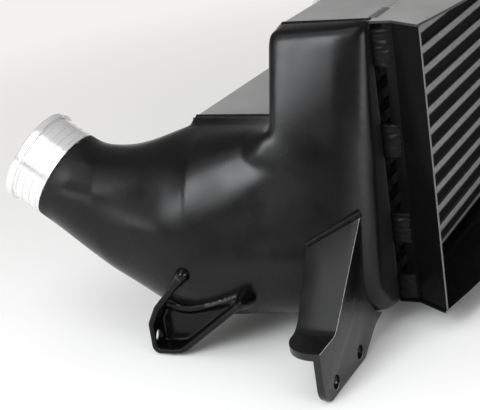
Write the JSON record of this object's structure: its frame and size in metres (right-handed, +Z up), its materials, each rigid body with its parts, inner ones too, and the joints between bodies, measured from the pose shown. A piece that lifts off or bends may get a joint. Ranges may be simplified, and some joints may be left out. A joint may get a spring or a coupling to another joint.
{
  "type": "air-to-air intercooler",
  "caption": "Stepped bar-and-plate air-to-air intercooler with cast end tanks, angled hose spigots, a folded air guide and welded mounting brackets.",
  "frame": {"origin": "centre of the core's front face, on the ambient-air side", "axes": "+X along the core towards the right end tank, +Y rearward with the ambient air, +Z up"},
  "size_m": [0.777, 0.3421, 0.2241],
  "materials": {
    "core_coating": "satin black coating",
    "bar_coating": "thin satin black coating",
    "fin_coating": "matt black coating",
    "bare_fin": "plain brazed",
    "tank_coating": "smooth satin black coating",
    "bracket_coating": "satin black coating",
    "guide_coating": "satin black coating",
    "weld_coating": "coated weld bead",
    "bare_aluminium": "turned, bare"
  },
  "bodies": {
    "root": {"core_top_plate": "core_coating", "core_step_plate": "core_coating", "core_bottom_plate": "core_coating", "parting_sheets_upper": "core_coating", "parting_sheets_lower": "core_coating", "front_closing_bars": "bar_coating", "rear_closing_bars_upper": "bar_coating", "rear_closing_bars_lower": "bar_coating", "header_bars_left": "core_coating", "header_bars_right": "core_coating", "ambient_fins_upper": "fin_coating", "ambient_fins_lower": "fin_coating", "ambient_fins_under_step": "fin_coating", "charge_fins_upper": "bare_fin", "charge_fins_lower": "bare_fin", "guide_top_plate": "guide_coating", "guide_bottom_plate": "guide_coating", "guide_seam_welds_top": "weld_coating", "guide_seam_welds_bottom": "weld_coating", "tank_left": "tank_coating", "spigot_left": "bare_aluminium", "front_bracket_left": "bracket_coating", "rear_lug_left": "bracket_coating", "guide_side_left": "guide_coating", "tank_weld_left": "weld_coating", "bracket_weld_left": "weld_coating", "lug_welds_left": "weld_coating", "stitch_welds_left": "weld_coating", "tank_right": "tank_coating", "spigot_right": "bare_aluminium", "front_bracket_right": "bracket_coating", "rear_lug_right": "bracket_coating", "guide_side_right": "guide_coating", "tank_weld_right": "weld_coating", "bracket_weld_right": "weld_coating", "lug_welds_right": "weld_coating", "stitch_welds_right": "weld_coating"}
  },
  "joints": []
}
